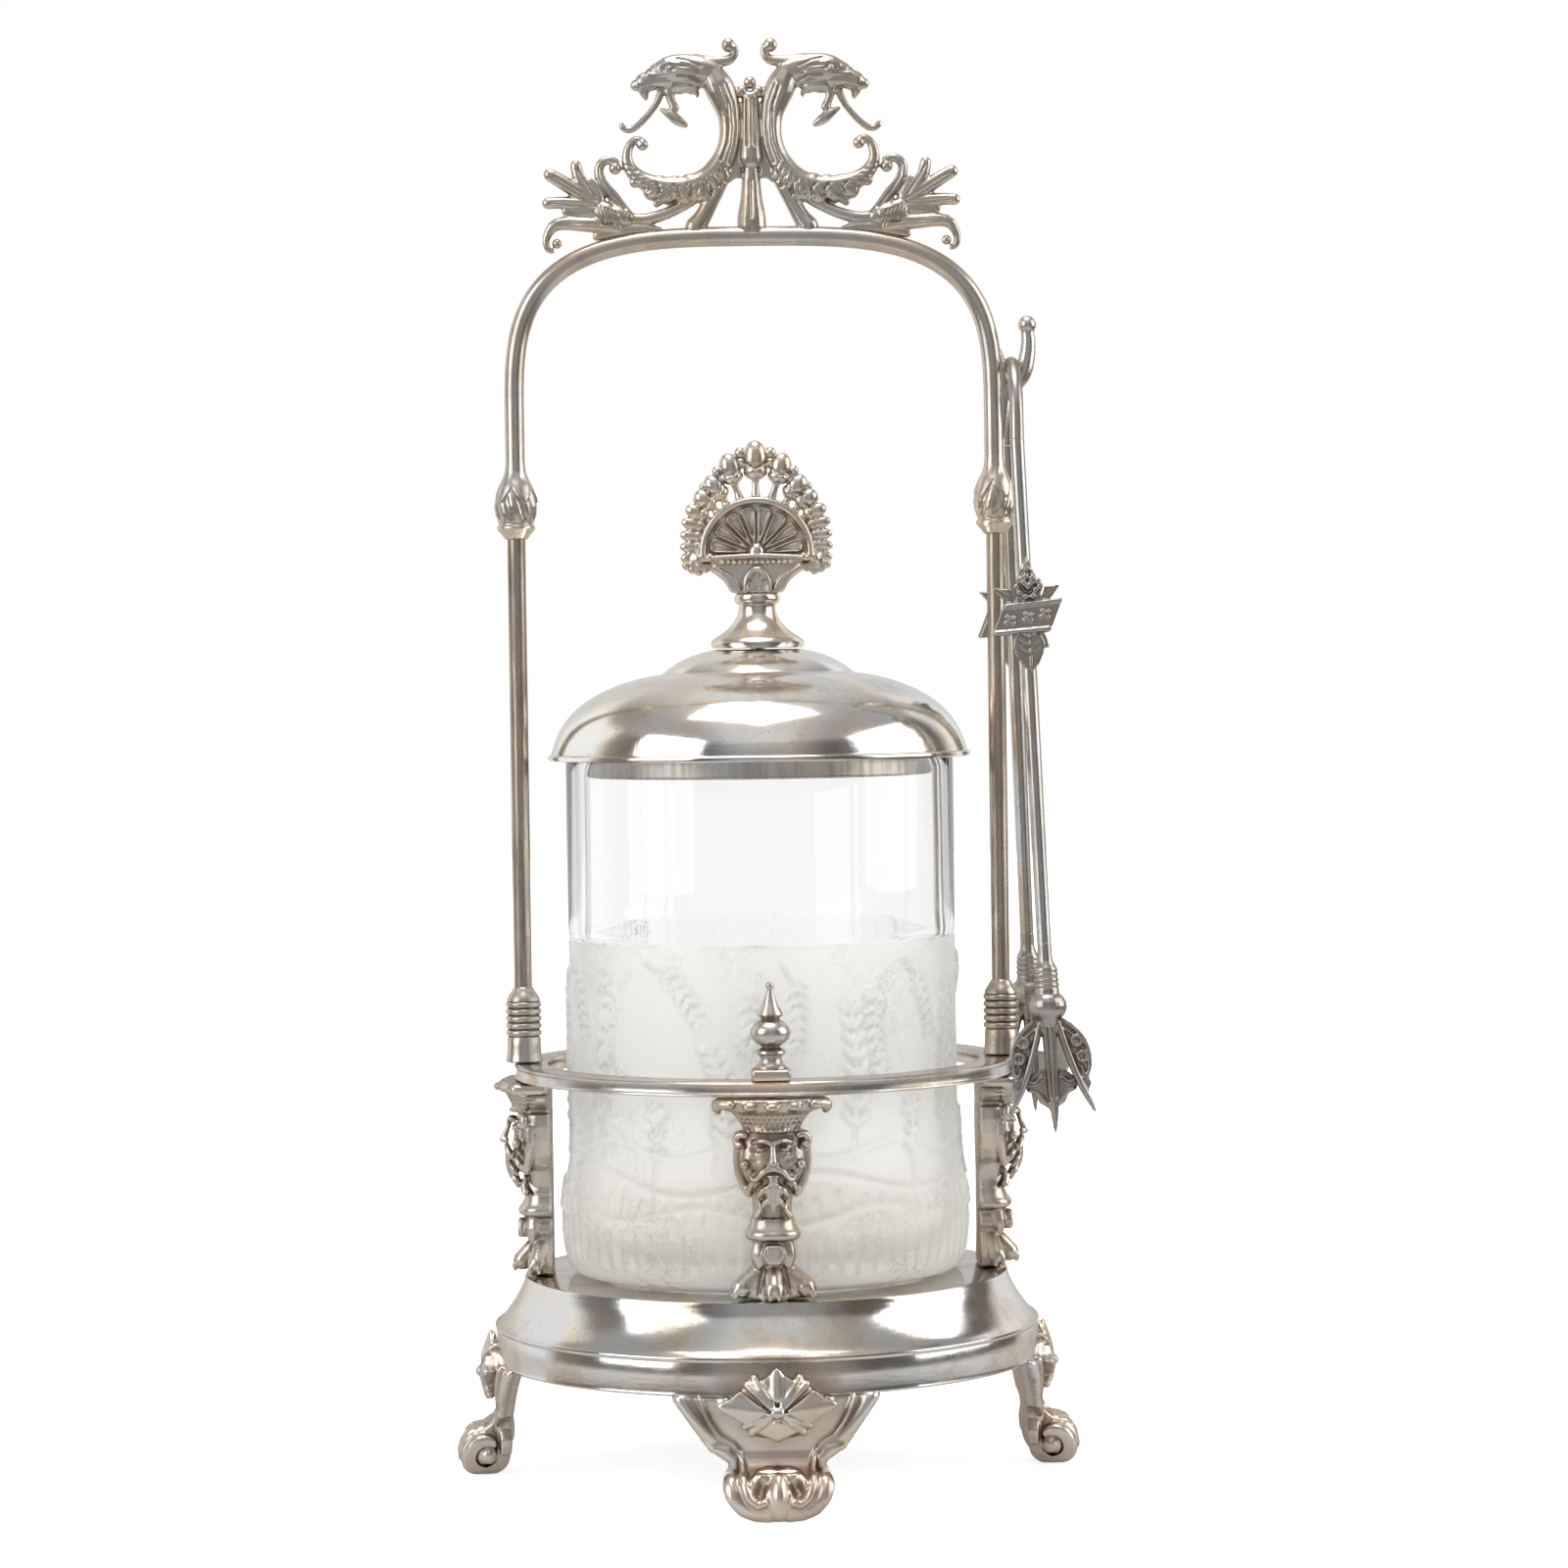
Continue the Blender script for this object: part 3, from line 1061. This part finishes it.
def tong_point(side, height):
    """The centre of a tong leg at a height. The front leg has side -1."""
    share = (SHOULDER_HEIGHT - height) / (SHOULDER_HEIGHT - CLAW_BALL_HEIGHT)
    spread = BOW_RADIUS + (TONG_SPREAD - BOW_RADIUS) * share
    return Vector((TONG_X + TONG_LEAN * share, side * spread, height))


def make_tong_bow():
    low = SHOULDER_HEIGHT + GAP / 2
    path = [Vector((TONG_X, -BOW_RADIUS, low))]
    for step in range(BOW_STEPS + 1):
        turn = math.pi * step / BOW_STEPS
        y = -BOW_RADIUS * math.cos(turn)
        path.append(Vector((TONG_X, y, BOW_CENTRE + BOW_RADIUS * math.sin(turn))))
    path.append(Vector((TONG_X, BOW_RADIUS, low)))
    finish_of(tube_curve("tong_bow", path, TONG_WIRE_RADIUS), TONG_METAL, 0.35)


def claw_core(bm, side):
    """The ribbed neck with its socket end, and the ball."""
    cone_foot = CLAW_TOP - CLAW_NECK_HEIGHT * CLAW_CONE_SHARE
    rows = [(CLAW_TOP, CLAW_NECK_RADIUS * CLAW_SOCKET_SHARE), (cone_foot, CLAW_NECK_RADIUS)]
    pitch = (cone_foot - CLAW_RIBS_BOTTOM) / CLAW_RIBS
    deepest, next_rib = GROOVE_SHARES
    for i in range(CLAW_RIBS):
        rows.append((cone_foot - pitch * (i + deepest), CLAW_NECK_RADIUS - RIB_DEPTH))
        rows.append((cone_foot - pitch * (i + next_rib), CLAW_NECK_RADIUS))
    rows.append((CLAW_RIBS_BOTTOM, CLAW_NECK_RADIUS - RIB_DEPTH))
    for turn in CLAW_BALL_TURNS:
        height = CLAW_BALL_HEIGHT + CLAW_BALL_RADIUS * math.sin(turn)
        rows.append((height, CLAW_BALL_RADIUS * math.cos(turn)))
    path = [tong_point(side, height) for height, _ in rows]
    tube(bm, path, [radius for _, radius in rows], Vector((0, 1, 0)), SMALL_SIDES)


def claw_blades(bm, side):
    """Two wings, and a middle prong with a web on it."""
    centre = tong_point(side, CLAW_BALL_HEIGHT)
    top = CLAW_BALL_HEIGHT - CLAW_BALL_RADIUS * BLADE_SET_DOWN_SHARE
    wing_length = CLAW_LENGTH * WING_LENGTH_SHARE
    for wing in (-CLAW_HALF_WIDTH, CLAW_HALF_WIDTH):
        outline = [(centre.x + wing * across, top - wing_length * down) for across, down in WING_SHARES]
        plate(bm, outline, centre.y + CLAW_THICKNESS / 2, CLAW_THICKNESS)
    web = [(centre.x + CLAW_HALF_WIDTH * across, top - CLAW_LENGTH * down) for across, down in WEB_SHARES]
    plate(bm, web, centre.y + CLAW_THICKNESS / 2, CLAW_THICKNESS * WEB_THICKNESS_SHARE)
    prong = [Vector((centre.x, centre.y, top - CLAW_LENGTH * down)) for down, _ in PRONG_SHARES]
    radii = [PRONG_RADIUS * size for _, size in PRONG_SHARES]
    tube(bm, prong, radii, Vector((0, 1, 0)), CREST_SIDES)


def make_tong_claw(name, side):
    core = bmesh.new()
    claw_core(core, side)
    blades = bmesh.new()
    claw_blades(blades, side)
    finish_of(fused("tong_claw_" + name, core, blades), TONG_METAL, 0.4)


def make_tong_leg(name, side):
    leg = bmesh.new()
    path = [tong_point(side, height) for height in (SHOULDER_HEIGHT - GAP / 2, CLAW_TOP + GAP)]
    tube(leg, path, [TONG_WIRE_RADIUS] * 2, Vector((1, 0, 0)), SMALL_SIDES)
    finish_of(object_from("tong_leg_" + name, leg), TONG_METAL, 0.35)


def make_tong_plaque(name, side):
    """A flat casting on the outer side of a leg, with a flower that stands out from it."""
    x = tong_point(side, PLAQUE_HEIGHT).x
    foot = tong_point(side, PLAQUE_HEIGHT - PLAQUE_HALF_HEIGHT)
    inner_face = abs(foot.y) + TONG_WIRE_RADIUS + GAP
    outer_face = inner_face + PLAQUE_THICKNESS
    core = bmesh.new()
    outline = [
        (x + PLAQUE_HALF_WIDTH * across, PLAQUE_HEIGHT + PLAQUE_HALF_HEIGHT * up)
        for across, up in PLAQUE_SHARES
    ]
    plate(core, outline, -inner_face if side < 0 else outer_face, PLAQUE_THICKNESS)
    flower = bmesh.new()
    centre = Vector((x, side * outer_face, PLAQUE_HEIGHT + PLAQUE_HALF_HEIGHT * FLOWER_RISE_SHARE))
    shape = Matrix.Translation(centre) @ Matrix.Diagonal((1, FLOWER_DEPTH_SHARE, 1, 1))
    bmesh.ops.create_uvsphere(flower, u_segments=SMALL_SIDES, v_segments=BALL_STEPS,
                              radius=FLOWER_RADIUS, matrix=shape)
    finish_of(fused("tong_plaque_" + name, core, flower), TONG_METAL, 0.42)


def carried(pivot_name, place, names):
    """Hangs the named pieces from an empty that stands on their joint's axis."""
    pivot = add_object(pivot_name, None)
    pivot.location = place
    for name in names:
        piece = bpy.data.objects[name]
        piece.parent = pivot
        piece.location -= pivot.location


def main():
    clear_scene()
    make_base()
    make_feet()
    make_posts()
    make_post_screws()
    make_ring()
    make_finials()
    make_uprights()
    finish_of(tube_curve("handle_arch", arch_path(), ROD_RADIUS), SILVER, 0.28)
    make_crest()
    make_hook()
    make_jar()
    make_lid()
    make_lid_collar()
    make_lid_stem()
    make_lid_nut()
    make_fan()
    make_tong_bow()
    carried("jar_axis", (0, 0, JAR_BOTTOM), ["jar_glass"])
    lid_pieces = ["lid_dome", "lid_inner_collar", "lid_stem", "lid_fan_finial", "lid_nut"]
    carried("lid_axis", (0, 0, JAR_TOP), lid_pieces)
    carried("tongs_axis", (TONG_X, 0, BOW_CROWN), ["tong_bow"])
    for name, side in (("front", -1), ("rear", 1)):
        make_tong_leg(name, side)
        make_tong_plaque(name, side)
        make_tong_claw(name, side)
        arm = ["tong_leg_" + name, "tong_plaque_" + name, "tong_claw_" + name]
        carried("tong_hinge_" + name, (TONG_X, side * BOW_RADIUS, SHOULDER_HEIGHT), arm)


main()
